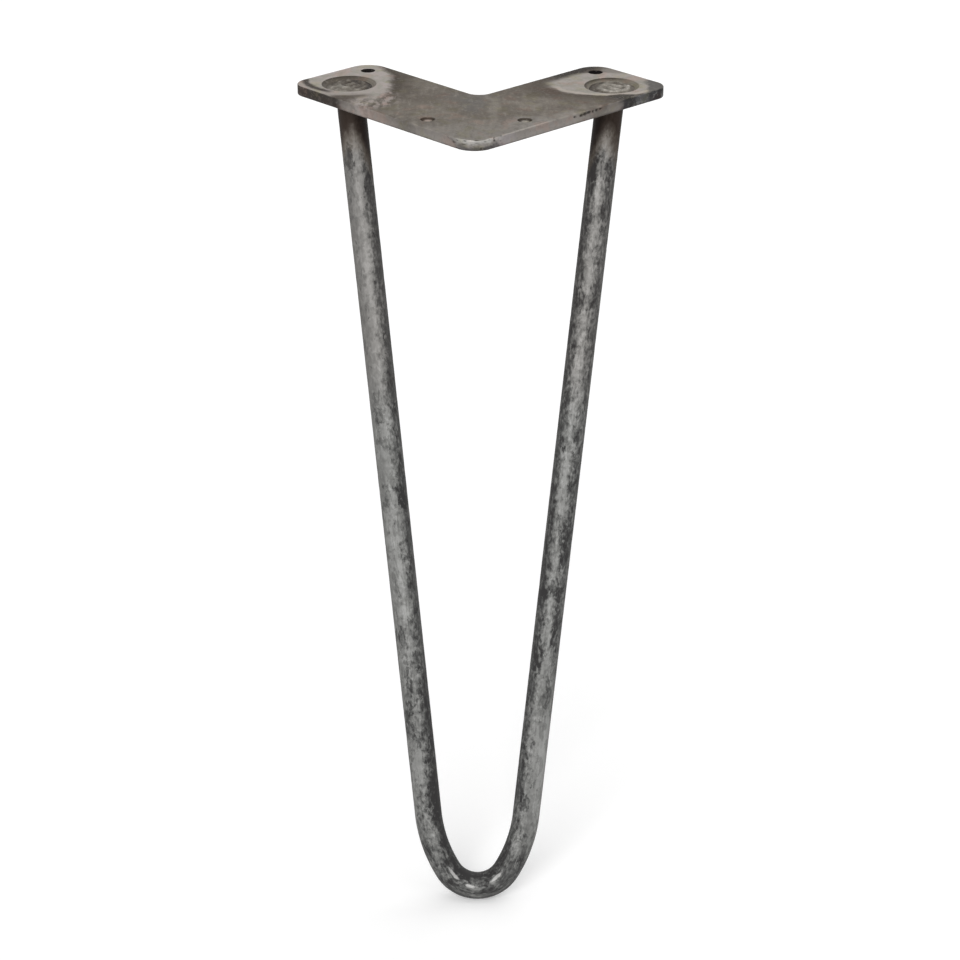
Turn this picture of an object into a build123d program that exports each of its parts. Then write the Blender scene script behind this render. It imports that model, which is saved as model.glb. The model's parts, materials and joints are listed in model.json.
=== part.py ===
"""Hairpin table leg: a round steel bar bent into a narrow U and plug-welded to a V-shaped plate.

The origin is on the plate's top face, which is the mounting face, where the centre lines of the
two arms cross. +Z points up into the table top, +Y away from the plate's outer corner, and the two
runs of the bar stand side by side along X. All lengths are in millimetres.
"""

import os
from math import asin, atan2, cos, hypot, radians, sin, sqrt, tan

from build123d import *

# Whole leg
leg_height = 355.6  # mounting face to floor, 14 in
rod_diameter = 12.0
bend_radius = 15.0  # centre line of the bar at the foot
shoulder_radius = 65.0  # wide bend that leads each run into the foot
shoulder_angle = 25.0  # turn of each wide bend, in degrees
splay_angle = 11.2  # lean of the bar's plane towards the outer corner, in degrees

# V-shaped plate, with its two arms at a right angle
plate_thickness = 4.5
arm_length = 112.0  # outer edge, from the sharp outer corner to the arm's end
arm_width = 44.0
outer_corner_radius = 9.5
inner_corner_radius = 6.0
tip_radius = 7.0  # arm end, on the outer edge
heel_radius = 9.5  # arm end, on the inner edge
edge_round = 0.5

# Screw holes
screw_hole_diameter = 6.0
rear_hole_inset = 8.8  # from the arm's end and its inner edge
front_hole_inset = 8.2  # from the arm's outer edge

# Seats of the bar's ends in the plate
seat_inset = 17.3  # from the arm's end and its outer edge
rod_clearance = 0.2  # all round the bar in its bore
countersink_radius = 11.8  # at the top face
land_height = 1.0  # bore left below the countersink
rod_end_depth = 2.2  # top face to the bar's level end

# Plug weld over each end, as depths below the top face and distances from its axis
toe_depth = 1.4  # where the weld meets the countersink
bead_depth = 0.5  # crest of the ring bead
groove_depth = 1.05  # bottom of the ring groove
nub_depth = 0.6  # middle
groove_distance = 3.6

# Places on the plate, from distances along and across an arm
corner_setback = arm_width / sqrt(2)  # origin to the sharp outer corner


def arm_place(along, across):
    """Place on the right arm, from the sharp outer corner and from the outer edge."""
    return ((along - across) / sqrt(2), (along + across) / sqrt(2) - corner_setback)


outer_corner = arm_place(0, 0)
right_tip = arm_place(arm_length, 0)
right_heel = arm_place(arm_length, arm_width)
inner_corner = arm_place(arm_width, arm_width)
left_heel = (-right_heel[0], right_heel[1])
left_tip = (-right_tip[0], right_tip[1])
seat_x, seat_y = arm_place(arm_length - seat_inset, seat_inset)
rear_x, rear_y = arm_place(arm_length - rear_hole_inset, arm_width - rear_hole_inset)
front_x, front_y = arm_place(arm_width - front_hole_inset, front_hole_inset)

# The bar's plane holds both seats and leans towards the outer corner
rod_radius = rod_diameter / 2
splay = radians(splay_angle)
rod_plane = Plane(origin=(0, seat_y, 0), x_dir=(1, 0, 0), z_dir=(0, -cos(splay), sin(splay)))

# In that plane each run leads into a wide bend, and both wide bends into the tight one at the foot
foot_depth = (leg_height - rod_radius) / cos(splay)
bend_centre_depth = foot_depth - bend_radius
shoulder_turn = radians(shoulder_angle)
run_offset = shoulder_radius - (shoulder_radius - bend_radius) * cos(shoulder_turn)
run_lean = atan2(seat_x, bend_centre_depth) - asin(run_offset / hypot(seat_x, bend_centre_depth))
bend_lean = run_lean + shoulder_turn
bend_start_x = bend_radius * cos(bend_lean)
bend_start_depth = bend_centre_depth + bend_radius * sin(bend_lean)
shoulder_start_x = shoulder_radius * (cos(run_lean) - cos(bend_lean)) + bend_start_x
shoulder_start_depth = bend_start_depth - shoulder_radius * (sin(bend_lean) - sin(run_lean))

# Both runs start above the plate, so that the bores clear it and the ends can be cut level
overrun = plate_thickness + rod_diameter
start_x = seat_x + overrun * tan(run_lean)

# Section of the countersink and of the weld that fills it
bore_radius = rod_radius + rod_clearance
countersink_depth = plate_thickness - land_height
countersink_slope = (countersink_radius - bore_radius) / countersink_depth
toe_distance = countersink_radius - toe_depth * countersink_slope
bead_distance = (rod_radius + toe_distance) / 2

# Bar
with BuildPart() as hairpin_rod:
    with BuildLine(rod_plane) as rod_path:
        left_run = Line((-start_x, overrun), (-shoulder_start_x, -shoulder_start_depth))
        left_shoulder = TangentArc(
            left_run @ 1, (-bend_start_x, -bend_start_depth), tangent=left_run % 1
        )
        foot_bend = ThreePointArc(
            left_shoulder @ 1, (0, -foot_depth), (bend_start_x, -bend_start_depth)
        )
        right_shoulder = TangentArc(
            foot_bend @ 1, (shoulder_start_x, -shoulder_start_depth), tangent=foot_bend % 1
        )
        right_run = Line(right_shoulder @ 1, (start_x, overrun))
    with BuildSketch(Plane(origin=left_run @ 0, z_dir=left_run % 0)):
        Circle(rod_radius)
    sweep(path=rod_path.line)
    split(bisect_by=Plane.XY.offset(-rod_end_depth), keep=Keep.BOTTOM)

# Plate
with BuildPart() as mounting_plate:
    with BuildSketch():
        with BuildLine():
            FilletPolyline(
                outer_corner,
                right_tip,
                right_heel,
                inner_corner,
                left_heel,
                left_tip,
                radius=[
                    outer_corner_radius,
                    tip_radius,
                    heel_radius,
                    inner_corner_radius,
                    heel_radius,
                    tip_radius,
                ],
                close=True,
            )
        make_face()
    extrude(amount=-plate_thickness)
    fillet(mounting_plate.faces().filter_by(Axis.Z).edges(), radius=edge_round)
    with Locations((rear_x, rear_y), (-rear_x, rear_y), (front_x, front_y), (-front_x, front_y)):
        Hole(radius=screw_hole_diameter / 2)
    with Locations((seat_x, seat_y), (-seat_x, seat_y)):
        Cone(
            bottom_radius=bore_radius,
            top_radius=countersink_radius,
            height=countersink_depth,
            align=(Align.CENTER, Align.CENTER, Align.MAX),
            mode=Mode.SUBTRACT,
        )
    for run_top, run_direction in ((left_run @ 0, left_run % 0), (right_run @ 1, -(right_run % 1))):
        with BuildSketch(Plane(origin=run_top, z_dir=run_direction)):
            Circle(bore_radius)
        extrude(amount=2 * overrun, mode=Mode.SUBTRACT)

# Welds
with BuildPart() as right_weld:
    with BuildSketch(Plane(origin=(seat_x, seat_y, 0), x_dir=(1, 0, 0), z_dir=(0, -1, 0))):
        with BuildLine():
            Polyline(
                (toe_distance, -toe_depth),
                (bead_distance, -bead_depth),
                (groove_distance, -groove_depth),
                (0, -nub_depth),
                (0, -countersink_depth),
                (bore_radius, -countersink_depth),
                close=True,
            )
        make_face()
    revolve(axis=Axis((seat_x, seat_y, 0), (0, 0, 1)))
    add(hairpin_rod.part, mode=Mode.SUBTRACT)

with BuildPart() as left_weld:
    mirror(right_weld.part, about=Plane.YZ)

# One file for each piece
os.makedirs("parts", exist_ok=True)
mounting_plate.part.label = "mounting_plate"
export_step(mounting_plate.part, "parts/mounting_plate.step")
hairpin_rod.part.label = "hairpin_rod"
export_step(hairpin_rod.part, "parts/hairpin_rod.step")
left_weld.part.label = "left_weld"
export_step(left_weld.part, "parts/left_weld.step")
right_weld.part.label = "right_weld"
export_step(right_weld.part, "parts/right_weld.step")
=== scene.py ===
import json
import math
from types import SimpleNamespace

import bmesh
import bpy
from mathutils import Matrix, Vector, noise


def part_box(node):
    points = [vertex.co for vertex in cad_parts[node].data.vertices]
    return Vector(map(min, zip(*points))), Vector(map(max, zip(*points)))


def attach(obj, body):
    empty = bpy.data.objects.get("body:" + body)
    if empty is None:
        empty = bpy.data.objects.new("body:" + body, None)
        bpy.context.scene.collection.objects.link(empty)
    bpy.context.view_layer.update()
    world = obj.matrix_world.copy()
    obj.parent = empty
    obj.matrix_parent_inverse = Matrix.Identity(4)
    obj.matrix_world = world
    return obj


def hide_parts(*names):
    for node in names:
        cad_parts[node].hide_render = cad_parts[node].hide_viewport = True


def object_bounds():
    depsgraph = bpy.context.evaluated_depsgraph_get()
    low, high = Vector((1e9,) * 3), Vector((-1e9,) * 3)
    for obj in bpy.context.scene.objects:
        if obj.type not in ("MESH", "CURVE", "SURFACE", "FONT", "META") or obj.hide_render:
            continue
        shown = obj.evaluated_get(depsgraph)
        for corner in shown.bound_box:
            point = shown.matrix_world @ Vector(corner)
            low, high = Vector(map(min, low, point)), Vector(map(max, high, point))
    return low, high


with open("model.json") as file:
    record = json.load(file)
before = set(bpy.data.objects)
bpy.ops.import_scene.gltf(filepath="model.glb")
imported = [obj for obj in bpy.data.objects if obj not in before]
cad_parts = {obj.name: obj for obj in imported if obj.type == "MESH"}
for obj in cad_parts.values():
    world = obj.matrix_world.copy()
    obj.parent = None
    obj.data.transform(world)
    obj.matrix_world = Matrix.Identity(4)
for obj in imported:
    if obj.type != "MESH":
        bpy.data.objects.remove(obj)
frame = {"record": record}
cadLow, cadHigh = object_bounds()
mm = 0.001
bpy.context.scene.view_settings.view_transform = "Standard"

# Places that the CAD parts give
plateLow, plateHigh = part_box("mounting_plate")
rodLow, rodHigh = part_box("hairpin_rod")
weldLow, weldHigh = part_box("right_weld")
seatX = (weldLow.x + weldHigh.x) / 2
seatY = (weldLow.y + weldHigh.y) / 2
mounts = {mount["name"]: mount for mount in frame["record"]["mounts"]}
print("frame loaded, seats at", round(seatX / mm, 2), round(seatY / mm, 2), "mm")


# Shader helpers
def tone(red, green, blue):
    # 0 to 255 as a picture shows them, made linear for a socket
    linear = []
    for value in (red, green, blue):
        share = value / 255
        linear.append(share / 12.92 if share <= 0.04045 else ((share + 0.055) / 1.055) ** 2.4)
    return (*linear, 1.0)


def feed(tree, socket, value):
    if isinstance(value, bpy.types.NodeSocket):
        tree.links.new(value, socket)
    else:
        socket.default_value = value


def addNode(tree, kind, inputs, **settings):
    made = tree.nodes.new("ShaderNode" + kind)
    for name, value in settings.items():
        setattr(made, name, value)
    for socket, value in inputs.items():
        feed(tree, made.inputs[socket], value)
    return made


def calc(tree, operation, *values, clamp=False):
    inputs = dict(enumerate(values))
    return addNode(tree, "Math", inputs, operation=operation, use_clamp=clamp).outputs[0]


def vectorCalc(tree, operation, first, second):
    inputs = {0: first, "Scale" if operation == "SCALE" else 1: second}
    return addNode(tree, "VectorMath", inputs, operation=operation).outputs[0]


def raised(tree, value, share, amount):
    # value plus share times amount
    return calc(tree, "MULTIPLY_ADD", share, amount, value)


def squared(tree, value):
    return calc(tree, "POWER", value, 2.0)


def product(tree, *shares):
    found = shares[0]
    for share in shares[1:]:
        found = calc(tree, "MULTIPLY", found, share)
    return found


def sway(tree, value, *pushes):
    # value pushed up and down by patterns from 0 to 1, each with its reach
    for pattern, reach in pushes:
        value = raised(tree, value, calc(tree, "SUBTRACT", pattern, 0.5), reach)
    return value


def step(tree, value, low, high):
    # 0 at low, 1 at high, eased; low may be the larger
    inputs = {"Value": value, "From Min": low, "From Max": high}
    return addNode(tree, "MapRange", inputs, interpolation_type="SMOOTHSTEP").outputs[0]


def band(tree, value, middle, reach):
    # 1 at the middle, 0 beyond the reach on both sides
    away = calc(tree, "ABSOLUTE", calc(tree, "SUBTRACT", value, middle))
    return step(tree, away, reach, reach * 0.25)


def grain(tree, place, size, detail=3.0, rough=0.55, warp=0.0):
    # size is roughly the width of a patch, in the units of place
    inputs = {"Vector": place, "Scale": 1 / size, "Detail": detail, "Roughness": rough}
    return addNode(tree, "TexNoise", {**inputs, "Distortion": warp}).outputs[0]


def stretched(tree, place, shares):
    # a grain over this place is drawn out along each way with a share below 1
    return vectorCalc(tree, "MULTIPLY", place, shares)


def wander(tree, place, size, reach):
    # place pushed about by up to the reach
    push = grain(tree, place, size, rough=0.5).node.outputs["Color"]
    push = vectorCalc(tree, "SUBTRACT", push, (0.5, 0.5, 0.5))
    return vectorCalc(tree, "ADD", place, vectorCalc(tree, "SCALE", push, 2 * reach))


def mixed(tree, share, first, second, mode="MIX"):
    inputs = {0: share, 6: first, 7: second}  # 6, 7 and 2 are the colour sockets
    return addNode(tree, "Mix", inputs, data_type="RGBA", blend_type=mode).outputs[2]


def paint(tree, colour, share, amount, shade):
    # a shade laid over the colour, as thick as share times amount
    return mixed(tree, product(tree, share, amount), colour, tone(*shade))


def coated(tree, colour, piece, **shares):
    # layers one over the other, with the thickness and the shade that the piece gives each name
    for name, share in shares.items():
        amount, *shade = piece[name]
        colour = paint(tree, colour, share, amount, shade)
    return colour


def shades(tree, value, stops):
    # colours along a value, from (place, red, green, blue) stops
    made = addNode(tree, "ValToRGB", {0: value})
    while len(made.color_ramp.elements) < len(stops):
        made.color_ramp.elements.new(0.5)
    for element, (place, *shade) in zip(made.color_ramp.elements, stops):
        element.position = place
        element.color = tone(*shade)
    return made.outputs[0]


def parts(tree, place):
    return tuple(addNode(tree, "SeparateXYZ", {0: place}).outputs)


def spotDistance(tree, place, centre, radii=(1, 1)):
    # 0 at the centre and 1 on an upright elliptical column round it
    local = vectorCalc(tree, "SUBTRACT", place, (*centre, 0.0))
    scaled = vectorCalc(tree, "MULTIPLY", local, (1 / radii[0], 1 / radii[1], 0.0))
    return addNode(tree, "VectorMath", {0: scaled}, operation="LENGTH").outputs["Value"]


def spotted(tree, place, centre, radii, core, rim=1.0):
    # 1 up to the core and 0 from the rim on, as shares of the radii
    return step(tree, spotDistance(tree, place, centre, radii), rim, core)


def millimetres(tree):
    where = addNode(tree, "TexCoord", {}).outputs
    return vectorCalc(tree, "SCALE", where["Object"], 1 / mm), where["Normal"]


def attribute(tree, name, output="Fac"):
    return addNode(tree, "Attribute", {}, attribute_name=name).outputs[output]


def newSteel(name, gloss, edgeTint):
    material = bpy.data.materials.new(name)
    material.use_nodes = True
    shader = material.node_tree.nodes["Principled BSDF"]
    shader.inputs["Specular IOR Level"].default_value = gloss
    shader.inputs["Specular Tint"].default_value = (edgeTint, edgeTint, edgeTint, 1.0)
    return material, material.node_tree, shader


def finishSteel(tree, shader, colour, metallic, roughness, height, depth):
    # bumps come from a height of 0 to 1, over the depth in metres
    bump = addNode(tree, "Bump", {"Distance": depth, "Height": height}).outputs[0]
    looks = {"Base Color": colour, "Metallic": metallic, "Roughness": roughness, "Normal": bump}
    for name, value in looks.items():
        feed(tree, shader.inputs[name], value)


# Object helpers
def addObject(name, data):
    made = bpy.data.objects.new(name, data)
    bpy.context.scene.collection.objects.link(made)
    return made


def addMesh(bm, name, material):
    mesh = bpy.data.meshes.new(name)
    bm.to_mesh(mesh)
    bm.free()
    mesh.materials.append(material)
    return addObject(name, mesh)


def addPiece(bm, name, material, nodeName):
    piece = addMesh(bm, name, material)
    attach(piece, "root")
    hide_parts(nodeName)
    print(name, "has", sum(len(face.vertices) - 2 for face in piece.data.polygons), "triangles")


def faceOutward(bm):
    bmesh.ops.recalc_face_normals(bm, faces=bm.faces[:])


# Bent bar
bar = dict(
    radius=6.0 * mm,
    bendRadius=15.0 * mm,  # centre line at the foot
    shoulderRadius=65.0 * mm,  # wide bend from each run into the foot
    shoulderTurn=math.radians(25.0),
    splay=math.radians(11.2),
    sides=72,
    ringStep=1.0 * mm,
    pitDepth=0.10 * mm,
    waveDepth=0.06 * mm,
    tarnish=[  # bright steel to black mill scale
        (0.0, 159, 159, 157),
        (0.25, 140, 140, 138),
        (0.5, 115, 115, 113),
        (0.75, 83, 83, 82),
        (1.0, 56, 55, 55),
    ],
    leastTarnish=0.29,
    innerTarnish=0.5,  # more on the side that faces the other run
    # more for each kind of mark; the marks on the outer sides and under the foot are painted shade
    markTarnish=dict(
        # painted shade on the outer side of each run
        rightOuter=0.4,
        leftOuter=0.16,
        lowLeft=0.04,
        right=0.03,
        foot=0.1,
        # painted shade on the underside of the foot
        under=0.25,
        darkFlakes=0.2,
        paleFlakes=-0.16,
        patch=0.26,
        bare=-0.1,
        glint=-0.12,
        leftBend=-0.16,
        rightBend=0.08,
        lowLeftInner=0.16,
        lowLeftOuter=-0.06,
        lowRightMiddle=0.15,
        lowRightInner=-0.07,
        lowRightFoot=0.03,
        highLeft=0.04,
        lowRight=-0.03,
    ),
    # patterns: stretch inward, frontward and along, size in mm, detail, roughness, warp
    patterns=dict(
        blotch=((1, 1, 0.6), 3.4, 5, 0.66, 0.4),
        fleck=((1, 1, 0.6), 1.2, 2.5, 0.55),
        sweep=((1, 1, 0.3), 15, 2),
        streak=((1, 1, 0.05), 0.9, 2),
        cross=((0.45, 0.45, 1), 2.6, 3, 0.6),
        darkFlake=((1, 1, 0.5), 4.2, 5, 0.62, 0.5),
        paleFlake=((-1, 1, 0.5), 3.2, 5, 0.62, 0.5),
    ),
    # painted glints in the crook of the bend: along from the foot's middle, inward share, half length
    rubs=[(-13.8, 0.36, 5), (-3, 0.26, 2.8), (12.5, 0.4, 4.6)],
    rubHalfWidth=0.13,  # share of the radius
    # patches of scale on the left and the right run, or of worn steel below 0:
    # mm from the end, degrees from inside, reach in mm and in degrees, strength
    patches={
        -1: [
            (31.5, 124, 5.5, 28, 0.9), (46, 88, 8, 20, -0.7),
            (83, 88, 11, 20, -0.6), (141.5, 110, 4.5, 30, 0.7),
            (178, 62, 8, 30, 0.65), (200, 105, 18, 30, -0.7),
            (241, 118, 6, 26, 0.8), (262, 86, 10, 28, 0.9),
            (279, 140, 8, 30, 0.8), (301, 105, 8, 34, -0.9),
            (316, 60, 8, 40, 0.9),
        ],
        1: [
            (36, 77, 6.5, 50, 1.1), (45.5, 80, 8, 20, -0.9),
            (77.5, 82, 11, 20, -0.9), (176, 84, 10, 20, -0.8),
            (194.5, 115, 11, 24, 0.8), (217.5, 90, 4, 44, 0.8),
            (232.5, 118, 8, 20, 0.8), (248, 60, 9, 26, 0.8),
            (293, 130, 17, 42, -0.9), (317.5, 72, 4.5, 24, 1),
        ],
    },
    endTint=(1.03, 1.0, 0.99, 1.0),  # warmth of the upper runs
    # the heat reaches also bound the painted shadow of the plate on the bar tops
    heatReach=20.5,  # mm from the plate's face, at the front
    heatInner=13.0,  # mm more on the inner side
    heatOuter=3.0,
    heatRightOuter=6.0,  # mm more again on the right run
    heatRightLoss=1.8,
    # layers of the finish, as thickness, red, green and blue
    # painted glint in the crook of the bend
    rub=(0.75, 182, 181, 179),
    warm=(0.5, 106, 95, 83),
    # heat tint with the plate's painted shadow, blackest on the inner side
    dark=(0.9, 48, 38, 33),
    black=(0.6, 28, 23, 23),
)
down = Vector((0, -math.sin(bar["splay"]), -math.cos(bar["splay"])))
outFront = Vector((0, -math.cos(bar["splay"]), math.sin(bar["splay"])))
bendDepth = (-rodLow.z - bar["radius"]) / math.cos(bar["splay"]) - bar["bendRadius"]
radiusLoss = bar["shoulderRadius"] - bar["bendRadius"]
runOffset = bar["shoulderRadius"] - radiusLoss * math.cos(bar["shoulderTurn"])
runLean = math.atan2(seatX, bendDepth) - math.asin(runOffset / math.hypot(seatX, bendDepth))
bendLean = runLean + bar["shoulderTurn"]
shoulderDepth = (bendDepth - radiusLoss * math.sin(bendLean)
                 + bar["shoulderRadius"] * math.sin(runLean))
runLength = shoulderDepth / math.cos(runLean)
shoulderLength = bar["shoulderRadius"] * bar["shoulderTurn"]
bendLength = bar["bendRadius"] * (math.pi - 2 * bendLean)
# length and curve of each stretch, from the left end to the right end
stretches = [
    (runLength, 0.0),
    (shoulderLength, 1 / bar["shoulderRadius"]),
    (bendLength, 1 / bar["bendRadius"]),
    (shoulderLength, 1 / bar["shoulderRadius"]),
    (runLength, 0.0),
]
barLength = sum(length for length, curve in stretches)
footMiddle = barLength / mm / 2  # mm along the bar


def runSlope(side):
    # shift of a run's axis for each metre of depth
    way = down * math.cos(runLean) - side * Vector((1, 0, 0)) * math.sin(runLean)
    return way / -way.z


def bentPlace(inward, front, along):
    # a point of the straight bar, carried to the bent one
    x, depth, heading = -seatX, 0.0, runLean
    left = along
    for number, (length, curve) in enumerate(stretches):
        last = number == len(stretches) - 1
        move = left if last else min(left, length)
        if curve:
            newHeading = heading + move * curve
            x += (math.cos(heading) - math.cos(newHeading)) / curve
            depth += (math.sin(newHeading) - math.sin(heading)) / curve
            heading = newHeading
        else:
            x += move * math.sin(heading)
            depth += move * math.cos(heading)
        left -= move
        if left <= 0:
            break
    x += inward * math.cos(heading)
    depth -= inward * math.sin(heading)
    return Vector((x, seatY, 0)) + depth * down + front * outFront


def pitted(inward, front, along):
    # how far the skin lies below the true round, in metres
    spot = Vector((inward, front, along * 0.6)) / mm
    wave = 0.5 + 0.5 * noise.noise(spot * 0.16)
    pit = max(0.0, noise.noise(spot * 0.55 + Vector((40, 0, 0))) - 0.18) / 0.82
    return bar["waveDepth"] * wave + bar["pitDepth"] * pit


def patched(turn, along):
    # scale above 0 and worn steel below 0
    found = 0.0
    side = -1 if along < barLength / 2 else 1
    toEnd = min(along, barLength - along) / mm
    for middle, degrees, lengthwise, around, strength in bar["patches"][side]:
        away = math.hypot((toEnd - middle) / lengthwise, (math.degrees(turn) - degrees) / around)
        found += strength * max(0.0, 1.0 - 0.6 * away)
    return found


def bendBar(material):
    bm = bmesh.new()
    rings = round(barLength / bar["ringStep"])
    bmesh.ops.create_grid(bm, x_segments=bar["sides"], y_segments=rings, size=0.5)
    placeLayer = bm.verts.layers.float_vector.new("barPlace")
    scaleLayer = bm.verts.layers.float.new("scale")
    for vert in bm.verts:  # the flat strip rolled into a straight bar
        turn = 2 * math.pi * (vert.co.x + 0.5)
        along = (vert.co.y + 0.5) * barLength
        inward, front = bar["radius"] * math.cos(turn), bar["radius"] * math.sin(turn)
        share = 1 - pitted(inward, front, along) / bar["radius"]
        vert[placeLayer] = Vector((inward, front, along)) / mm
        vert[scaleLayer] = patched(turn, along)
        vert.co = (inward * share, front * share, along)
    bmesh.ops.remove_doubles(bm, verts=bm.verts[:], dist=0.01 * mm)
    for vert in bm.verts:
        vert.co = bentPlace(*vert.co)
    cut = bmesh.ops.bisect_plane(
        bm, geom=bm.verts[:] + bm.edges[:] + bm.faces[:], plane_co=(0, 0, rodHigh.z),
        plane_no=(0, 0, 1), clear_outer=True)
    for face in bm.faces:
        face.smooth = True
    rim = [item for item in cut["geom_cut"] if isinstance(item, bmesh.types.BMEdge)]
    bmesh.ops.holes_fill(bm, edges=rim, sides=0)
    faceOutward(bm)
    addPiece(bm, "bent_bar", material, "hairpin_rod")


def barMaps(tree):
    # places in mm, patterns and shares that the marks of the bar have in common
    place = attribute(tree, "barPlace", "Vector")
    inward, front, along = parts(tree, place)
    at = SimpleNamespace(front=front, along=along)
    for name, (shares, *settings) in bar["patterns"].items():
        setattr(at, name, grain(tree, stretched(tree, place, shares), *settings))
    at.inside = calc(tree, "DIVIDE", inward, bar["radius"] / mm)
    at.outside = product(tree, at.inside, -1)
    at.innerEdge = sway(tree, at.inside, (at.blotch, 1.1), (at.fleck, 0.4))
    at.outerEdge = sway(tree, at.outside, (at.blotch, 1.1), (at.fleck, 0.4))
    at.inner = step(tree, at.innerEdge, 0, 0.85)
    at.toRight = calc(tree, "SUBTRACT", barLength / mm, along)
    at.toEnd = calc(tree, "MINIMUM", along, at.toRight)
    at.right = step(tree, along, barLength / mm * 0.49, barLength / mm * 0.51)
    at.left = calc(tree, "SUBTRACT", 1, at.right)
    at.high = step(tree, at.toEnd, 150, 110)
    at.lowLeft = product(tree, step(tree, along, 240, 290), at.left)
    at.lowRight = product(tree, step(tree, at.toRight, 220, 280), at.right)
    toFoot = calc(tree, "SUBTRACT", footMiddle, at.toEnd)
    at.foot = step(tree, sway(tree, toFoot, (at.sweep, 20)), 46, 26)
    # flakes are fewer on the upper runs, and fewest on the left one
    at.flaked = raised(tree, 1, product(tree, at.high, at.left), -0.48)
    at.flaked = raised(tree, at.flaked, product(tree, at.high, at.right), -0.2)
    # placed patches, with ragged edges
    scale = attribute(tree, "scale")
    at.scaleEdge = sway(tree, scale, (at.paleFlake, 2.2), (at.fleck, 0.7))
    at.bare = step(tree, at.scaleEdge, -0.3, -0.42)
    return at


def barMarks(tree, at):
    # share of each mark that changes the tarnish
    return dict(
        # painted shade on the outer side of each run, over the scale
        rightOuter=product(
            tree, step(tree, at.outerEdge, 0, 0.65), at.right, step(tree, at.toRight, 300, 235)),
        leftOuter=product(tree, step(tree, at.outerEdge, -0.1, 0.6), at.left),
        lowLeft=at.lowLeft,
        right=at.right,
        foot=at.foot,
        # painted shade on the underside of the foot
        under=product(tree, at.foot, step(tree, at.outerEdge, -0.4, 0.6)),
        darkFlakes=product(tree, step(tree, at.darkFlake, 0.54, 0.565), at.flaked),
        paleFlakes=product(tree, step(tree, at.paleFlake, 0.55, 0.58), at.flaked),
        patch=step(tree, at.scaleEdge, 0.32, 0.44),
        bare=at.bare,
        glint=product(tree, at.bare, step(tree, at.fleck, 0.5, 0.6)),
        leftBend=band(tree, at.along, footMiddle - 20, 8),
        rightBend=band(tree, at.along, footMiddle + 16, 14),
        lowLeftInner=product(tree, at.lowLeft, step(tree, at.innerEdge, -0.4, 0.3)),
        lowLeftOuter=product(tree, at.lowLeft, step(tree, at.outerEdge, 0, 0.6)),
        lowRightMiddle=product(tree, at.lowRight, band(tree, at.inside, -0.15, 0.5)),
        lowRightInner=product(tree, at.lowRight, at.inner),
        lowRightFoot=product(tree, at.lowRight, at.foot),
        highLeft=product(tree, at.high, at.left),
        lowRight=at.lowRight,
    )


def barMottle(tree, at):
    # fine ups and downs of the tarnish
    mottle = product(tree, calc(tree, "SUBTRACT", at.blotch, 0.5), 0.5)
    mottle = sway(tree, mottle, (at.cross, 0.3), (at.sweep, 0.32))
    mottle = product(tree, mottle, raised(tree, 1, at.lowLeft, 0.6), at.flaked)
    mottle = sway(tree, mottle, (at.fleck, 0.6), (at.streak, -0.4))
    sharp = product(tree, calc(tree, "SUBTRACT", at.fleck, 0.5), at.right)
    mottle = raised(tree, mottle, sharp, 0.25)
    # the outer side is worn smooth high on the left run and low on the right run
    wornLeft = product(tree, at.left, step(tree, at.along, 240, 205))
    wornRight = product(tree, at.right, step(tree, at.toRight, 235, 275))
    worn = product(tree, step(tree, at.outside, -0.25, 0.25), calc(tree, "ADD", wornLeft, wornRight))
    worn = calc(tree, "MAXIMUM", worn, at.bare)
    return product(tree, mottle, raised(tree, 1, worn, -0.45))


def barTarnish(tree, at):
    # tarnish from bright steel to black mill scale: darker on the side that faces the other run, thin
    # where the bar was handled, with painted shade added on the outer sides and under the foot
    tarnish = raised(tree, bar["leastTarnish"], at.inner, bar["innerTarnish"])
    marks = barMarks(tree, at)
    for name, amount in bar["markTarnish"].items():
        tarnish = raised(tree, tarnish, marks[name], amount)
    tarnish = calc(tree, "ADD", tarnish, barMottle(tree, at))
    drawn = product(tree, calc(tree, "SUBTRACT", at.streak, 0.5), at.foot)
    return raised(tree, tarnish, drawn, 0.9)


def barRubs(tree, at, colour):
    # painted glints in the crook of the bend
    for away, middle, halfLength in bar["rubs"]:
        lengthwise = calc(tree, "SUBTRACT", at.along, footMiddle + away)
        sideways = calc(tree, "SUBTRACT", at.inside, middle)
        spot = calc(tree, "ADD", squared(tree, calc(tree, "DIVIDE", lengthwise, halfLength)),
                    squared(tree, calc(tree, "DIVIDE", sideways, bar["rubHalfWidth"])))
        rub = product(tree, step(tree, sway(tree, spot, (at.fleck, 1.6)), 1.1, 0.2),
                      step(tree, at.front, 0, 2))
        colour = coated(tree, colour, bar, rub=rub)
    return colour


def barHeat(tree, at, colour):
    # heat from the welds at both ends, its darkest part also a painted shadow of the plate over the
    # bar tops
    innerBow = squared(tree, calc(tree, "MAXIMUM", at.inside, 0))
    outerBow = product(tree, squared(tree, calc(tree, "MAXIMUM", at.outside, 0)),
                       raised(tree, bar["heatOuter"], at.right, bar["heatRightOuter"]))
    hot = calc(tree, "SUBTRACT", raised(tree, at.toEnd, innerBow, -bar["heatInner"]), outerBow)
    hot = raised(tree, hot, at.right, bar["heatRightLoss"])
    hot = sway(tree, hot, (at.sweep, 8), (at.blotch, 16))
    reach = bar["heatReach"]
    # painted shadow of the plate over the heat tint, blackest on the inner side
    burnt = step(tree, hot, reach + 5, reach - 5)
    return coated(
        tree, colour, bar,
        warm=step(tree, hot, reach + 12, reach),
        dark=burnt,
        black=product(tree, burnt, at.inner),
    )


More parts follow.
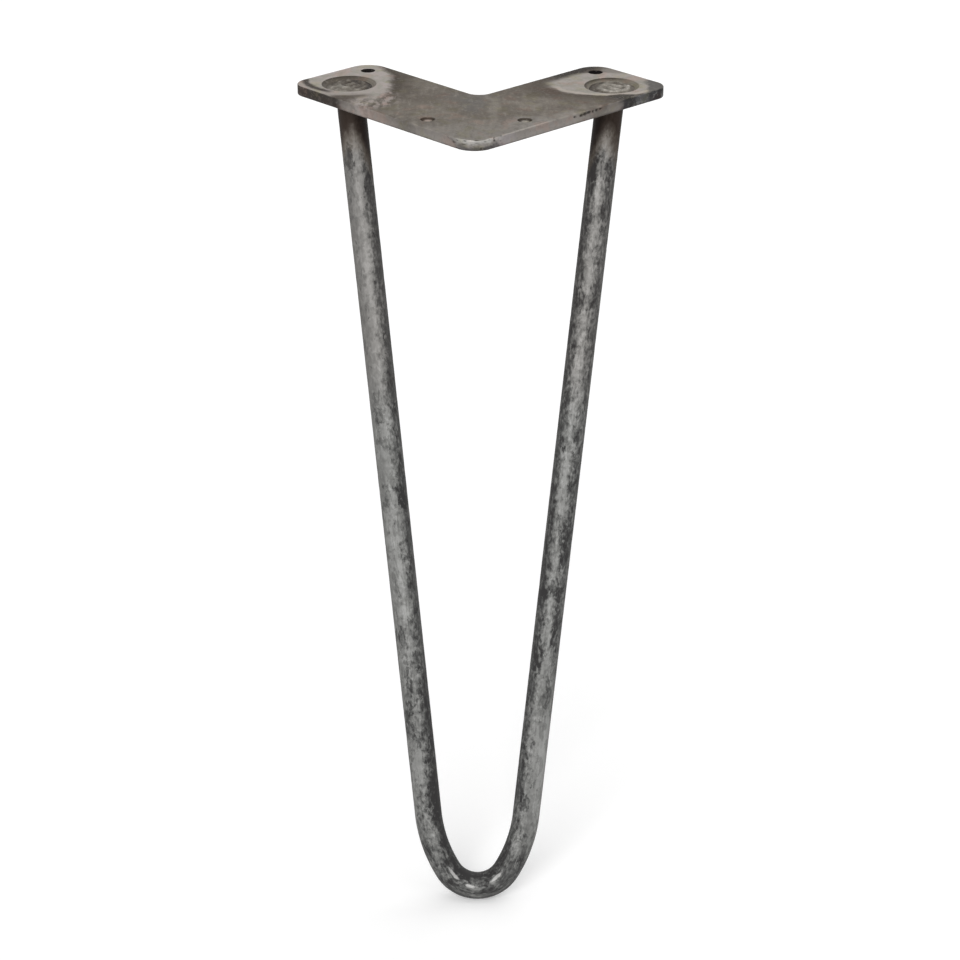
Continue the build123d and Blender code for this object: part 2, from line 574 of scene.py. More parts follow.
def barSteel():
    material, tree, shader = newSteel("scaled_bar_steel", gloss=0.2, edgeTint=0.15)
    at = barMaps(tree)
    tarnish = barTarnish(tree, at)
    colour = barRubs(tree, at, shades(tree, tarnish, bar["tarnish"]))
    colour = mixed(tree, at.high, colour, bar["endTint"], "MULTIPLY")
    colour = barHeat(tree, at, colour)
    metallic = calc(tree, "MULTIPLY_ADD", tarnish, -0.5, 0.65, clamp=True)
    roughness = raised(tree, 0.36, tarnish, 0.22)
    height = raised(tree, product(tree, at.blotch, 0.6), at.fleck, 0.4)
    finishSteel(tree, shader, colour, metallic, roughness, height, depth=0.15 * mm)
    return material


bendBar(barSteel())

# Cut plate
plate = dict(
    armLength=112.0 * mm,
    armWidth=44.0 * mm,
    cornerRadii=[9.5 * mm, 7.0 * mm, 9.5 * mm, 6.0 * mm, 9.5 * mm, 7.0 * mm],
    edgeRound=0.5 * mm,
    edgeStep=0.5 * mm,
    rimBand=1.6 * mm,
    countersinkRadius=11.8 * mm,
    countersinkDepth=3.5 * mm,
    boreRadius=6.2 * mm,
    holeBreak=0.25 * mm,
    holeSides=48,
    seatSides=120,
    # chips in the right outer edge: mm from its corner, depth, half length, half height
    chips=[
        (55.9, 1.4, 0.8, 0.5), (59.6, 1.5, 1.3, 0.7), (61.7, 1.35, 1.3, 0.75),
        (63.9, 1.15, 1.4, 0.75), (66.3, 1.3, 0.7, 0.7), (68.3, 1.1, 0.9, 0.7), (70.6, 1.05, 1, 0.55),
    ],
    chipDepth=0.32 * mm,
    nickDepth=0.26 * mm,
    nickReach=17.0 * mm,  # along the edge from the front corner
    cornerY=-28.0 * mm,  # middle of the nicks
    rubDepth=0.42 * mm,  # of the upper rounding that is rubbed and given a painted highlight
    # burn and painted shade of the countersinks towards the weld, as a share of that at the rim
    innerBurns={-1: 0.75, 1: 0.35},
    # main tones of the rolled face, dark and pale, and of the halo round each weld
    faceTones=((97, 90, 82), (113, 107, 98)),
    haloTones={-1: ((163, 155, 151), (150, 146, 138)), 1: ((156, 149, 144), (144, 140, 132))},
    redTint=(1.05, 0.95, 0.92, 1.0),
    yellowTint=(0.98, 0.98, 0.87, 1.0),
    # cloudy spots on the face: middle and reach in mm, core, thickness, shade
    spots=[
        ((24, -3), (16, 13), 0.3, 0.6, (136, 132, 128)),
        ((25, 24), (13, 11), 0.3, 0.55, (130, 124, 115)),
        ((-25, -4), (14, 9), 0.3, 0.7, (99, 93, 85)),
        ((-5, 31), (15, 11), 0.3, 0.6, (97, 94, 90)),
        ((-2, 19), (7, 16), 0.4, 0.5, (96, 95, 94)),
    ],
    # marks on the cut edges: middle and reach across the part in mm, thickness, shade
    wallMarks=[
        (-42, 7, 0.2, (160, 152, 148)),
        (-28, 5, 0.4, (82, 79, 75)),
        (12, 6, 0.35, (160, 154, 158)),
        (49.5, 5, 0.45, (78, 74, 67)),
    ],
    # layers of the finish, as thickness, red, green and blue
    frontGrey=(0.75, 126, 122, 117),
    trail=(0.6, 127, 122, 114),
    paleSmear=(0.34, 140, 134, 126),
    darkSmear=(0.34, 86, 80, 74),
    palePatch=(0.36, 134, 126, 118),
    darkPatch=(0.36, 88, 82, 74),
    leftScorch=(0.94, 62, 54, 46),
    splash=(0.72, 162, 152, 147),
    leftShoulder=(0.9, 72, 64, 57),
    paleEdge=(0.7, 158, 150, 145),
    ring=(0.65, 152, 145, 138),
    crescent=(0.95, 57, 51, 46),
    rightScorch=(0.88, 70, 62, 54),
    lip=(0.8, 172, 164, 155),
    spikes=(0.7, 172, 165, 158),
    rearBand=(0.92, 46, 40, 34),
    tip=(0.94, 84, 82, 79),
    rightShoulder=(0.9, 60, 56, 52),
    paleStrip=(0.5, 148, 142, 136),
    heel=(0.6, 146, 141, 135),
    wall=(0.45, 137, 132, 129),
    lowWall=(0.16, 160, 156, 152),
    leftBurn=(0.95, 49, 45, 42),
    rightBurn=(0.95, 45, 44, 46),
    rightSpecks=(0.6, 124, 124, 123),
    rightDust=(0.35, 118, 118, 118),
    leftSpecks=(0.35, 112, 102, 96),
    # darker along the lower edge of each wall
    grime=(0.5, 66, 62, 62),
    # rub with painted highlight on the upper rounding, a painted highlight along the right front edge,
    # and rub with painted highlight at the corner
    rub=(0.2, 172, 167, 160),
    edgeRub=(0.45, 166, 161, 155),
    cornerRub=(0.7, 186, 183, 178),
    cornerLow=(0.75, 62, 60, 63),
    # painted highlight on the upper wall at the front corner
    cornerHigh=(0.75, 176, 174, 170),
    chip=(0.88, 42, 39, 37),
    leftSink=(0.9, 104, 98, 89),
    rightSink=(0.9, 114, 109, 98),
    sinkRings=(0.5, 130, 124, 115),
    # burn with painted shade at each countersink's rear left
    leftSinkBurn=(0.82, 52, 46, 40),
    rightSinkBurn=(0.85, 52, 46, 40),
    underside=(0.8, 64, 58, 56),
    # painted shade on the screw hole walls, and a painted highlight low in the front holes
    frontHole=(0.97, 86, 79, 72),
    rearHole=(0.97, 24, 21, 22),
    cleanHole=(0.95, 182, 176, 168),
    darkGrain=(0.22, 74, 69, 64),
    paleGrain=(0.22, 160, 153, 145),
)
thickness = plateHigh.z - plateLow.z
sinkSlope = (plate["countersinkRadius"] - plate["boreRadius"]) / plate["countersinkDepth"]
setback = plate["armWidth"] / math.sqrt(2)


def armPlace(along, across):
    # right arm, from the sharp outer corner and from the outer edge
    return (along - across) / math.sqrt(2), (along + across) / math.sqrt(2) - setback


def screwHoles():
    found = []
    for name in ("rear_screw_holes", "front_screw_holes"):
        mount = mounts[name]
        reach = mount["dims"]["spacing_x_mm"] * mm / 2
        for side in (-1, 1):
            found.append((side * reach, mount["pos_m"][1], mount["dims"]["hole_r_mm"] * mm))
    return found


def holeWall(place):
    centres = screwHoles()
    centres += [(side * seatX, seatY, plate["countersinkRadius"]) for side in (-1, 1)]
    return any(math.hypot(place.x - x, place.y - y) < radius + mm for x, y, radius in centres)


def wearEdges(bm):
    # chips and nicks sink the outer wall; its rounded upper edge is marked for rubs and painted
    # highlights
    bm.normal_update()
    chipLayer = bm.verts.layers.float.new("chip")
    rubLayer = bm.verts.layers.float.new("rub")
    for vert in bm.verts:
        x, y, depth = vert.co.x / mm, vert.co.y / mm, -vert.co.z / mm
        along = (x + y + setback / mm) / math.sqrt(2)
        outer = (x - y - setback / mm) / math.sqrt(2)
        onRim = len(vert.link_faces) == 4 and 0.01 < depth < thickness / mm - 0.01
        if not onRim or abs(vert.normal.z) > 0.99 or holeWall(vert.co):
            continue
        if depth < plate["rubDepth"] / mm:
            vert[rubLayer] = 1.0
        sink = 0.0
        if outer > -0.6:  # right outer edge
            for place, middle, halfLength, halfHeight in plate["chips"]:
                spot = math.hypot((along - place) / halfLength, (depth - middle) / halfHeight)
                sink = max(sink, plate["chipDepth"] * max(0.0, 1 - spot**2))
        near = 1 - math.hypot(x, y - plate["cornerY"] / mm) / (plate["nickReach"] / mm)
        if near > 0 and y < 0:
            bite = noise.noise(Vector((x * 0.8, y * 0.8, depth * 1.3 + 7))) - 0.22
            sink = max(sink, plate["nickDepth"] * max(0.0, bite) / 0.5 * min(1.0, 2 * near))
        vert[chipLayer] = min(1.0, sink / (0.6 * plate["chipDepth"]))
        vert.co -= sink * vert.normal


def ringEdges(bm, sides, radius, centre, height):
    made = bmesh.ops.create_circle(bm, cap_ends=False, segments=sides, radius=radius)
    bmesh.ops.translate(bm, vec=(centre[0], centre[1], height), verts=made["verts"])
    return list({edge for vert in made["verts"] for edge in vert.link_edges})


def holeRings(bm):
    # rings of edges down each screw hole
    found = []
    for x, y, radius in screwHoles():
        rounded = plate["holeBreak"]
        chain = [(radius + rounded, 0), (radius + 0.3 * rounded, -0.3 * rounded), (radius, -rounded)]
        chain += [(radius, -thickness * share) for share in (0.25, 0.5, 0.75)]
        chain += [(r, -thickness - z) for r, z in reversed(chain[:3])]
        found.append([ringEdges(bm, plate["holeSides"], r, (x, y), z) for r, z in chain])
    return found


def seatRings(bm):
    # rings of edges down each countersink and the slanted bore below it
    found = []
    sides, sinkDepth = plate["seatSides"], plate["countersinkDepth"]
    for side in (-1, 1):
        seat = Vector((side * seatX, seatY, 0))
        rings = []
        for share in (0.0, 0.2, 0.4, 0.6, 0.8):
            depth = share * sinkDepth
            radius = plate["countersinkRadius"] - sinkSlope * depth
            rings.append(ringEdges(bm, sides, radius, seat, -depth))
        for depth in (sinkDepth, thickness):
            centre = seat + runSlope(side) * depth
            rings.append(ringEdges(bm, sides, plate["boreRadius"], centre, -depth))
        found.append(rings)
    return found


def roundedSlab(bm):
    # the plate without its holes; gives the edges round its open top and bottom
    long, wide = plate["armLength"], plate["armWidth"]
    right = [armPlace(0, 0), armPlace(long, 0), armPlace(long, wide), armPlace(wide, wide)]
    outline = right + [(-x, y) for x, y in (right[2], right[1])]
    corners = [bm.verts.new((x, y, 0)) for x, y in outline]
    bm.faces.new(corners)
    bevel = dict(offset_type="OFFSET", profile=0.5, material=-1)
    for corner, radius in zip(corners, plate["cornerRadii"]):
        bmesh.ops.bevel(bm, geom=[corner], offset=radius, segments=16, affect="VERTICES", **bevel)
    for edge in [edge for edge in bm.edges if edge.calc_length() > 2 * plate["edgeStep"]]:
        cuts = round(edge.calc_length() / plate["edgeStep"]) - 1
        bmesh.ops.subdivide_edges(bm, edges=[edge], cuts=cuts)
    faceOutward(bm)
    lowered = bmesh.ops.extrude_face_region(bm, geom=bm.faces[:])
    bottomVerts = [item for item in lowered["geom"] if isinstance(item, bmesh.types.BMVert)]
    bmesh.ops.translate(bm, vec=(0, 0, -thickness), verts=bottomVerts)
    faceOutward(bm)
    rim = [edge for edge in bm.edges if abs(edge.verts[0].co.z - edge.verts[1].co.z) < 0.01 * mm]
    bmesh.ops.bevel(bm, geom=rim, offset=plate["edgeRound"], segments=5, affect="EDGES", **bevel)
    upright = [edge for edge in bm.edges
               if abs(edge.verts[0].co.z - edge.verts[1].co.z) > thickness / 2]
    bmesh.ops.subdivide_edges(bm, edges=upright, cuts=9, use_grid_fill=True)
    for face in bm.faces:
        face.smooth = len(face.verts) == 4
    flats = [face for face in bm.faces if len(face.verts) > 8]
    banded = bmesh.ops.inset_region(bm, faces=flats, thickness=plate["rimBand"], depth=0)
    for face in banded["faces"]:
        face.smooth = False
    flats = [face for face in bm.faces if len(face.verts) > 8]
    flats.sort(key=lambda face: -face.calc_center_median().z)
    openEdges = [list(face.edges) for face in flats]
    bmesh.ops.delete(bm, geom=flats, context="FACES_ONLY")
    return openEdges


def cutPlate(material):
    bm = bmesh.new()
    topEdges, bottomEdges = roundedSlab(bm)
    for rings in holeRings(bm) + seatRings(bm):
        topEdges += rings[0]
        bottomEdges += rings[-1]
        for upper, lower in zip(rings, rings[1:]):
            made = bmesh.ops.bridge_loops(bm, edges=upper + lower)
            for face in made["faces"]:
                face.smooth = True
    for edges in (topEdges, bottomEdges):
        bmesh.ops.triangle_fill(bm, edges=edges, use_beauty=True)
    bmesh.ops.remove_doubles(bm, verts=bm.verts[:], dist=0.002 * mm)
    faceOutward(bm)
    wearEdges(bm)
    addPiece(bm, "cut_plate", material, "mounting_plate")


def plateMaps(tree):
    # places in mm and patterns that the layers of the finish have in common
    place, normal = millimetres(tree)
    at = SimpleNamespace(place=place)
    at.x, at.y, at.z = parts(tree, place)
    at.upright = step(tree, calc(tree, "ABSOLUTE", parts(tree, normal)[2]), 0.85, 0.45)
    at.cloud = grain(tree, place, 20, 3)
    at.patch = grain(tree, place, 5, 4, 0.6, 0.3)
    at.fine = grain(tree, place, 1.3, 4, 0.65)
    at.near = wander(tree, place, 10, 4)
    at.drifted = wander(tree, wander(tree, place, 12, 2.6), 3, 0.8)
    # along each arm, and in from its outer edge
    at.alongRight = product(tree, calc(tree, "ADD", at.x, at.y), math.sqrt(0.5))
    at.alongLeft = product(tree, calc(tree, "SUBTRACT", at.y, at.x), math.sqrt(0.5))
    at.fromLeftEdge = calc(tree, "ADD", at.alongRight, plate["armWidth"] / mm / 2)
    at.fromRightEdge = calc(tree, "ADD", at.alongLeft, plate["armWidth"] / mm / 2)
    return at


def haloTone(tree, at, side):
    first, second = plate["haloTones"][side]
    return mixed(tree, step(tree, at.patch, 0.4, 0.6), tone(*first), tone(*second))


def rolledFace(tree, at):
    # brown in clouds, greyer towards the outer corner
    dark, pale = plate["faceTones"]
    colour = mixed(tree, step(tree, at.cloud, 0.38, 0.64), tone(*dark), tone(*pale))
    colour = coated(tree, colour, plate, frontGrey=step(tree, at.y, 8, -20))
    for middle, reach, core, amount, shade in plate["spots"]:
        colour = paint(tree, colour, spotted(tree, at.near, middle, reach, core), amount, shade)
    smear = grain(tree, stretched(tree, at.place, (1, 0.22, 1)), 2.2, 3, 0.6)
    return coated(
        tree, colour, plate,
        trail=product(tree, band(tree, parts(tree, at.near)[0], 6.5, 3),
                      step(tree, at.y, -6, 6), step(tree, at.y, 32, 26)),
        paleSmear=step(tree, smear, 0.52, 0.68),
        darkSmear=step(tree, smear, 0.48, 0.32),
        palePatch=step(tree, at.patch, 0.52, 0.66),
        darkPatch=step(tree, at.patch, 0.48, 0.34),
    )


def leftHeat(tree, at, colour):
    # heat marks round the left weld
    pastHalo = calc(tree, "ADD", at.x, 38)
    pastHalo = raised(tree, pastHalo, step(tree, at.y, 36, 16), 6)
    pastHalo = raised(tree, pastHalo, step(tree, at.y, 60, 72), 5)
    pastHalo = sway(tree, pastHalo, (at.patch, 3.4), (at.cloud, 5), (at.fine, 2.6))
    scorch = product(tree, step(tree, pastHalo, 19, 0), step(tree, at.y, -8, 56))
    colour = coated(tree, colour, plate, leftScorch=scorch)
    frontFade = step(tree, sway(tree, at.y, (at.patch, 26)), 16, 38)
    halo = product(tree, step(tree, pastHalo, 2.4, -2), frontFade)
    colour = mixed(tree, halo, colour, haloTone(tree, at, -1))
    splash = grain(tree, stretched(tree, at.place, (1, 0.5, 1)), 3, 3, 0.6)
    slant = raised(tree, at.fromLeftEdge, at.alongLeft, 1.1)
    ring = sway(tree, spotDistance(tree, at.place, (-54, 55)), (at.patch, 2.5))
    ringEnds = product(tree, step(tree, at.x, -45, -55), step(tree, at.y, 58, 50))
    crescentEnds = product(tree, step(tree, at.x, -59, -64), step(tree, at.y, 62, 55))
    return coated(
        tree, colour, plate,
        splash=product(tree, spotted(tree, at.place, (-43, 27), (12, 15), 0.6, 1.1),
                       step(tree, splash, 0.44, 0.6)),
        leftShoulder=product(tree, step(tree, slant, 77, 70), band(tree, at.alongLeft, 59.5, 8)),
        paleEdge=product(tree, step(tree, at.fromLeftEdge, 8, 5), band(tree, at.x, -47, 5.5),
                         step(tree, splash, 0.36, 0.58)),
        ring=product(tree, band(tree, ring, 22.6, 1.8), ringEnds),
        crescent=product(tree, band(tree, ring, 19.8, 2.3), crescentEnds),
    )


def rightHeat(tree, at, colour):
    # heat marks round the right weld, with a halo that is streaky and soft on its left side
    away = spotDistance(tree, at.drifted, (51.2, 50.3), (22.2, 16))
    away = raised(tree, away, step(tree, at.x, 57, 64), -0.08)
    spike = grain(tree, stretched(tree, at.place, (0.15, 1, 1)), 1.6, 2)
    frayed = mixed(tree, step(tree, at.x, 44, 32), away, sway(tree, away, (spike, 0.3)))
    halo = mixed(tree, step(tree, at.x, 48, 36), step(tree, frayed, 1.06, 0.94),
                 step(tree, frayed, 1.16, 0.86))
    scorch = product(tree, step(tree, away, 2.1, 1.05), step(tree, at.x, 2, 18))
    colour = coated(tree, colour, plate, rightScorch=scorch)
    colour = mixed(tree, halo, colour, haloTone(tree, at, 1))
    fromInner = calc(tree, "ADD", calc(tree, "SUBTRACT", at.x, at.y), setback / mm)
    fromInner = sway(tree, fromInner, (at.patch, 5))
    tipEdge = sway(tree, at.x, (at.patch, 5), (at.fine, 2))
    slant = raised(tree, at.fromRightEdge, at.alongRight, 0.55)
    return coated(
        tree, colour, plate,
        lip=product(tree, band(tree, away, 0.95, 0.11), step(tree, at.y, 50, 42)),
        spikes=product(tree, step(tree, spike, 0.5, 0.62), band(tree, at.x, 31, 6),
                       band(tree, at.y, 48, 8)),
        rearBand=product(tree, step(tree, fromInner, 11, 5), step(tree, at.x, 24, 33),
                         step(tree, at.x, 52, 46)),
        tip=step(tree, tipEdge, 68, 70.8),
        rightShoulder=product(tree, step(tree, slant, 42.3, 39.8), band(tree, at.alongRight, 65, 8)),
        paleStrip=product(
            tree, step(tree, at.fromRightEdge, 6.5, 3), band(tree, at.alongRight, 31.7, 9)),
        heel=spotted(tree, at.drifted, (57, 69), (9, 6), 0.4),
    )


def cutEdges(tree, at, colour):
    # walls burnt dark at both tips, darker along their lower edge, rubbed roundings with painted
    # highlights, chips and nicks
    colour = coated(
        tree, colour, plate,
        wall=at.upright,
        lowWall=product(tree, at.upright, step(tree, sway(tree, at.z, (at.patch, 1.6)), -1, -2.8)),
    )
    edgeX = sway(tree, at.x, (at.patch, 8))
    for middle, reach, amount, shade in plate["wallMarks"]:
        mark = product(tree, at.upright, band(tree, edgeX, middle, reach))
        colour = paint(tree, colour, mark, amount, shade)
    speck = product(tree, at.upright, step(tree, grain(tree, at.place, 2.6, 4, 0.6), 0.5, 0.62))
    rounding = attribute(tree, "rub")
    rub = product(tree, rounding, step(tree, at.patch, 0.42, 0.62))
    rightEdge = product(tree, step(tree, at.x, 9, 15), step(tree, at.x, 34, 24),
                        step(tree, at.y, 30, 26))
    corner = spotted(tree, at.place, (3, -27), (14, 12), 0.4)
    return coated(
        tree, colour, plate,
        leftBurn=product(tree, at.upright, step(tree, edgeX, -54.5, -60)),
        rightBurn=product(tree, at.upright, step(tree, edgeX, 57, 60)),
        rightSpecks=product(tree, speck, step(tree, at.x, 60, 66)),
        rightDust=product(tree, at.upright, band(tree, edgeX, 68, 4.5)),
        leftSpecks=product(tree, speck, step(tree, at.x, -58, -64)),
        # darker along the lower edge of each wall
        grime=product(tree, at.upright, step(tree, sway(tree, at.z, (at.patch, 0.8)), -3.7, -4.1)),
        # rubs with painted highlights on the upper rounding, a painted highlight along the right front
        # edge, stronger at the corner
        rub=rub,
        edgeRub=product(tree, rounding, rightEdge),
        cornerRub=product(tree, rub, corner),
        cornerLow=product(
            tree, at.upright, corner, step(tree, sway(tree, at.z, (at.patch, 4)), -2.2, -3.4)),
        # painted highlight on the upper wall at the corner
        cornerHigh=product(
            tree, at.upright, corner, step(tree, sway(tree, at.z, (at.patch, 3)), -2.2, -1)),
        chip=attribute(tree, "chip"),
    )


def seatsAndHoles(tree, at, colour):
    # turned countersinks, burnt with painted shade at their rear left, and the walls of the screw
    # holes in painted shade, with a painted highlight low in the front holes
    sunk = step(tree, at.z, -0.05, -0.3)
    bottom = -thickness / mm
    for side, name in ((-1, "left"), (1, "right")):
        seat = (side * seatX / mm, seatY / mm)
        inSink = product(tree, spotted(tree, at.place, seat, (11.6, 11.6), 0.97), sunk)
        turned = sway(tree, spotDistance(tree, at.place, seat), (at.patch, 1.2))
        rings = raised(tree, 0.5, calc(tree, "SINE", product(tree, turned, 6)), 0.5)
        diagonal = calc(tree, "ADD", at.x, seat[1] - seat[0])
        rearLeft = step(tree, calc(tree, "SUBTRACT", at.y, diagonal), -4, 12)
        innerBurn = plate["innerBurns"][side]
        rimBurn = raised(tree, innerBurn, step(tree, turned, 9.9, 11.1), 1 - innerBurn)
        colour = coated(tree, colour, plate, **{
            name + "Sink": inSink,
            "sinkRings": product(tree, inSink, rings),
            # burn with painted shade at the countersink's rear left, strongest at the rim
            name + "SinkBurn": product(tree, inSink, product(tree, rearLeft, rimBurn)),
            "underside": product(tree, spotted(tree, at.drifted, seat, (17, 17), 0.5),
                                 step(tree, at.z, bottom + 0.7, bottom + 0.2)),
        })
    for holeX, holeY, radius in screwHoles():
        reach = radius / mm + 0.35
        inHole = spotted(tree, at.place, (holeX / mm, holeY / mm), (reach, reach), 0.95)
        inFront = holeY < seatY / 2
        # painted shade on the hole walls
        layers = {"frontHole" if inFront else "rearHole": product(tree, inHole, sunk)}
        if inFront:  # painted highlight low on the far wall, below the painted shade of the upper rim
            layers["cleanHole"] = product(
                tree, inHole, step(tree, sway(tree, at.z, (at.patch, 0.5)), -0.9, -1.5),
                band(tree, at.x, holeX / mm, 2.4))
        colour = coated(tree, colour, plate, **layers)
    return colour


def plateSteel():
    material, tree, shader = newSteel("heat_marked_plate_steel", gloss=0.12, edgeTint=0.3)
    at = plateMaps(tree)
    colour = rolledFace(tree, at)
    for addMarks in (leftHeat, rightHeat, cutEdges, seatsAndHoles):
        colour = addMarks(tree, at, colour)
    colour = coated(
        tree, colour, plate,
        darkGrain=step(tree, at.fine, 0.52, 0.72),
        paleGrain=step(tree, at.fine, 0.46, 0.28),
    )
    hue = grain(tree, at.place, 9, 2)
    colour = mixed(tree, step(tree, hue, 0.54, 0.64), colour, plate["redTint"], "MULTIPLY")
    colour = mixed(tree, step(tree, hue, 0.46, 0.36), colour, plate["yellowTint"], "MULTIPLY")
    roughness = raised(tree, 0.36, at.fine, 0.25)
    height = raised(tree, product(tree, at.patch, 0.5), at.fine, 0.5)
    finishSteel(tree, shader, colour, 0.4, roughness, height, depth=0.08 * mm)
    return material


cutPlate(plateSteel())

# Plug welds
weld = dict(
    toeRadius=9.5 * mm,
    toeWave=0.35 * mm,
    beadPitch=4.8 * mm,
    beadHeight=0.5 * mm,
    rippleStep=1.3 * mm,
    rippleHeight=0.05 * mm,
    lumpHeight=0.4 * mm,
    lumpSize=3.0,  # mm
    meanDepth=1.05 * mm,
    crest=0.2 * mm,  # least depth below the plate's face
    shadeDepth=0.75 * mm,  # below the crest, no darker past it
    shadeScale=1.3 * mm,
    rootDepth=3.0 * mm,
    rootGap=0.03 * mm,  # to the countersink and to the bar
    rings=48,
    turns=160,
    tones=[  # painted shade in the hollows to painted highlight on the crown
        (0.0, 52, 46, 41),
        (0.3, 84, 78, 71),
        (0.55, 112, 107, 99),
        (0.8, 140, 135, 127),
        (1.0, 176, 171, 163),
    ],
)


def weldDepth(side, seed, radius, turn, wall, share):
    # depth of the weld's face below the plate's, at a distance and a turn from its middle
    phase = radius / weld["beadPitch"] - side * turn / (2 * math.pi)
    across = phase - math.floor(phase) - 0.5
    bead = weld["beadHeight"] * math.cos(math.pi * across)
    lengthwise = 2 * math.pi * (radius * turn / weld["rippleStep"])
    ripple = weld["rippleHeight"] * math.sin(lengthwise + 9 * across**2)
    spot = Vector((radius * math.cos(turn), radius * math.sin(turn), 0)) / mm
    lump = noise.noise(spot / weld["lumpSize"] + Vector((0, 0, seed)))
    lump += 0.5 * noise.noise(spot * 2.2 / weld["lumpSize"] + Vector((9, 0, seed)))
    depth = weld["meanDepth"] - bead - ripple - weld["lumpHeight"] * lump
    fade = min(1.0, (1 - share) / 0.3)
    fade = fade * fade * (3 - 2 * fade)
    return max(weld["crest"], depth * fade + wall * (1 - fade))


def addRoot(bm, side, crownLayer, rim):
    # down the countersink, in to the bar and up to its cut end
    lean = runSlope(side)
    leanWay = lean.xy.normalized()
    stretch = math.hypot(1, lean.xy.length) - 1  # of a level cut through the leaning bar
    gap, root = weld["rootGap"], weld["rootDepth"]
    sections = [
        (plate["countersinkRadius"] - sinkSlope * root - gap, root, 0),
        (bar["radius"] + gap, root, 1),
        (bar["radius"] + gap, -rodHigh.z - gap, 1),
    ]
    middle = Vector((0, 0))
    for radius, depth, onBar in sections:
        made = bmesh.ops.extrude_edge_only(bm, edges=rim)
        rim = [edge for edge in bm.edges if edge.is_boundary]
        for vert in [item for item in made["geom"] if isinstance(item, bmesh.types.BMVert)]:
            outward = (vert.co.xy - middle).normalized()
            outward += onBar * stretch * outward.dot(leanWay) * leanWay
            vert.co.xy = onBar * lean.xy * depth + outward * radius
            vert.co.z = -depth
            vert[crownLayer] = 0.0
        middle = onBar * lean.xy * depth
    bmesh.ops.holes_fill(bm, edges=rim, sides=0)


def layWeld(name, nodeName, material, side, seed, dulling, rimDulling, burnt, burntWay):
    bm = bmesh.new()
    start = bm.verts.new((0, 0, 0))
    tip = bm.verts.new((1, 0, 0))
    spoke = bm.edges.new((start, tip))
    bmesh.ops.subdivide_edges(bm, edges=[spoke], cuts=weld["rings"] - 1)
    bmesh.ops.spin(
        bm, geom=bm.verts[:] + bm.edges[:], cent=(0, 0, 0), axis=(0, 0, 1), dvec=(0, 0, 0),
        angle=2 * math.pi, steps=weld["turns"], use_merge=True)
    bmesh.ops.remove_doubles(bm, verts=bm.verts[:], dist=1e-5)
    crownLayer = bm.verts.layers.float.new("crown")
    for vert in bm.verts:
        share = vert.co.to_2d().length
        turn = math.atan2(vert.co.y, vert.co.x)
        toe = weld["toeRadius"] + weld["toeWave"] * noise.noise(
            Vector((1.6 * math.cos(turn), 1.6 * math.sin(turn), seed)))
        wall = (plate["countersinkRadius"] - toe) / sinkSlope
        depth = weldDepth(side, seed, share * toe, turn, wall, share)
        # painted light and shade: the crown lighter, the hollows, the rim and one side darker, that
        # side also burnt
        hollow = min(depth - weld["crest"], weld["shadeDepth"]) / weld["shadeScale"]
        shadeSide = share * math.cos(turn - burntWay)
        vert[crownLayer] = 1 - dulling - hollow - rimDulling * share**2 - burnt * shadeSide
        vert.co = (share * toe * math.cos(turn), share * toe * math.sin(turn), -depth)
    addRoot(bm, side, crownLayer, [edge for edge in bm.edges if edge.is_boundary])
    bmesh.ops.translate(bm, vec=(side * seatX, seatY, 0), verts=bm.verts[:])
    faceOutward(bm)
    for face in bm.faces:
        face.smooth = len(face.verts) < 5
    addPiece(bm, name, material, nodeName)


def weldSteel():
    material, tree, shader = newSteel("weld_bead_steel", gloss=0.2, edgeTint=0.3)
    place = millimetres(tree)[0]
    # painted highlight and shade of the weld's crown, hollows, rim and side
    crown = attribute(tree, "crown")
    fine = grain(tree, place, 1, 4, 0.65)
    patch = grain(tree, place, 3, 3, 0.6)
    level = sway(tree, crown, (fine, 0.7), (patch, 0.9))
    colour = shades(tree, level, weld["tones"])
    finishSteel(tree, shader, colour, 0.45, raised(tree, 0.3, fine, 0.3), fine, depth=0.1 * mm)
    return material


weldFinish = weldSteel()
# the rim and side values are painted shade, the side also burnt
layWeld("plug_weld_left", "left_weld", weldFinish, side=-1, seed=3.7, dulling=0.16, rimDulling=0.04,
        burnt=0.42, burntWay=math.radians(55))
layWeld("plug_weld_right", "right_weld", weldFinish, side=1, seed=11.3, dulling=-0.1, rimDulling=0.28,
        burnt=0.12, burntWay=math.radians(135))

# Floor, light and camera
studio = dict(
    floorReach=8.0,
    floorTone=0.9,
    floorLift=0.2,
    worldLevel=0.34,
    # place, level and spread in degrees; a level of 1 lights a facing surface to the colour as written
    lights=dict(
        key_light=((-0.33, -1.44, 1.03), 0.56, 34.0),
        top_light=((0.1, 0.1, 1.6), 0.16, 60.0),
        fill_light=((1.3, -0.9, 0.5), 0.08, 60.0),
        back_light=((0.7, 1.2, 1.1), 0.2, 60.0),
    ),
    viewTarget=Vector((1.15, 0.0, -159.45)) * mm,
    viewDistance=1178.7 * mm,
    azimuth=math.radians(1.938),
    elevation=math.radians(25.017),
    roll=math.radians(-0.148),
    lens=104.0,
)


def seenMask(tree):
    path = addNode(tree, "LightPath", {}).outputs
    seen = calc(tree, "MAXIMUM", path["Is Camera Ray"], path["Is Glossy Ray"])
    return calc(tree, "MAXIMUM", seen, path["Is Transmission Ray"])


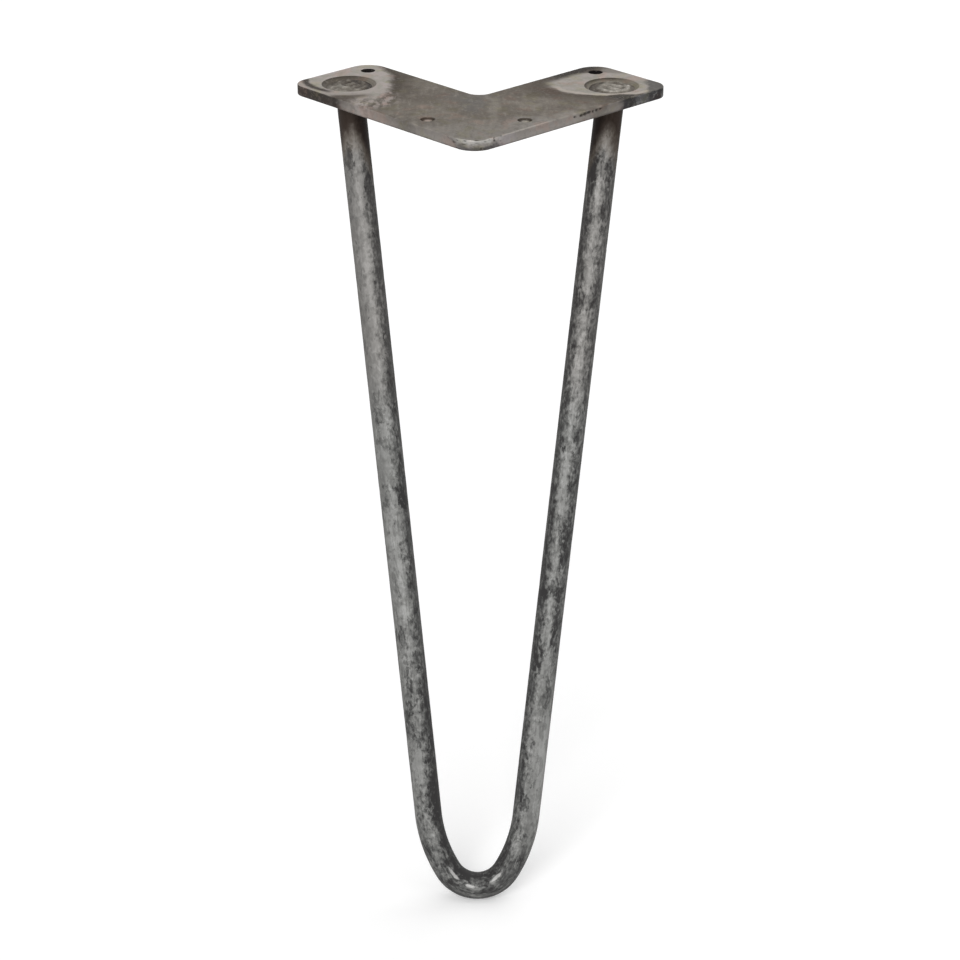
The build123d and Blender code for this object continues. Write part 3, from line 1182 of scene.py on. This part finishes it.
def layFloor():
    bm = bmesh.new()
    bmesh.ops.create_circle(bm, cap_ends=True, segments=96, radius=studio["floorReach"])
    bmesh.ops.translate(bm, vec=(0, 0, cadLow.z), verts=bm.verts[:])
    material = bpy.data.materials.new("pale_floor_paint")
    material.use_nodes = True
    tree = material.node_tree
    tree.nodes.remove(tree.nodes["Principled BSDF"])
    matt = addNode(tree, "BsdfDiffuse", {"Color": (studio["floorTone"],) * 3 + (1.0,)})
    glow = addNode(tree, "Emission", {"Strength": product(tree, seenMask(tree), studio["floorLift"])})
    both = addNode(tree, "AddShader", {0: matt.outputs[0], 1: glow.outputs[0]})
    tree.links.new(both.outputs[0], tree.nodes["Material Output"].inputs["Surface"])
    floor = addMesh(bm, "pale_floor", material)


def lightWorld():
    world = bpy.data.worlds.new("pale_room")
    bpy.context.scene.world = world
    world.use_nodes = True
    tree = world.node_tree
    level = raised(tree, studio["worldLevel"], seenMask(tree), 1 - studio["worldLevel"])
    tree.links.new(level, tree.nodes["Background"].inputs["Strength"])
    tree.nodes["Background"].inputs["Color"].default_value = (1, 1, 1, 1)


def softLight(name, place, level, spread):
    lamp = bpy.data.lights.new(name, "SUN")
    lamp.energy = level * math.pi
    lamp.angle = math.radians(spread)
    holder = addObject(name, lamp)
    holder.location = place
    holder.rotation_mode = "QUATERNION"
    holder.rotation_quaternion = (-Vector(place)).to_track_quat("-Z", "Y")


def aimCamera():
    turn, rise, roll = studio["azimuth"], studio["elevation"], studio["roll"]
    back = Vector((
        math.sin(turn) * math.cos(rise), -math.cos(turn) * math.cos(rise), math.sin(rise)))
    level = Vector((math.cos(turn), math.sin(turn), 0))
    upright = back.cross(level)
    right = math.cos(roll) * level + math.sin(roll) * upright
    up = math.cos(roll) * upright - math.sin(roll) * level
    cam = bpy.data.cameras.new("view")
    cam.lens = studio["lens"]
    cam.sensor_width = 36.0
    turned = Matrix((right, up, back)).transposed().to_4x4()
    place = studio["viewTarget"] + studio["viewDistance"] * back
    holder = addObject("view", cam)
    holder.matrix_world = Matrix.Translation(place) @ turned
    bpy.context.scene.camera = holder


layFloor()
lightWorld()
for name, settings in studio["lights"].items():
    softLight(name, *settings)
aimCamera()
print("floor, light and camera set")
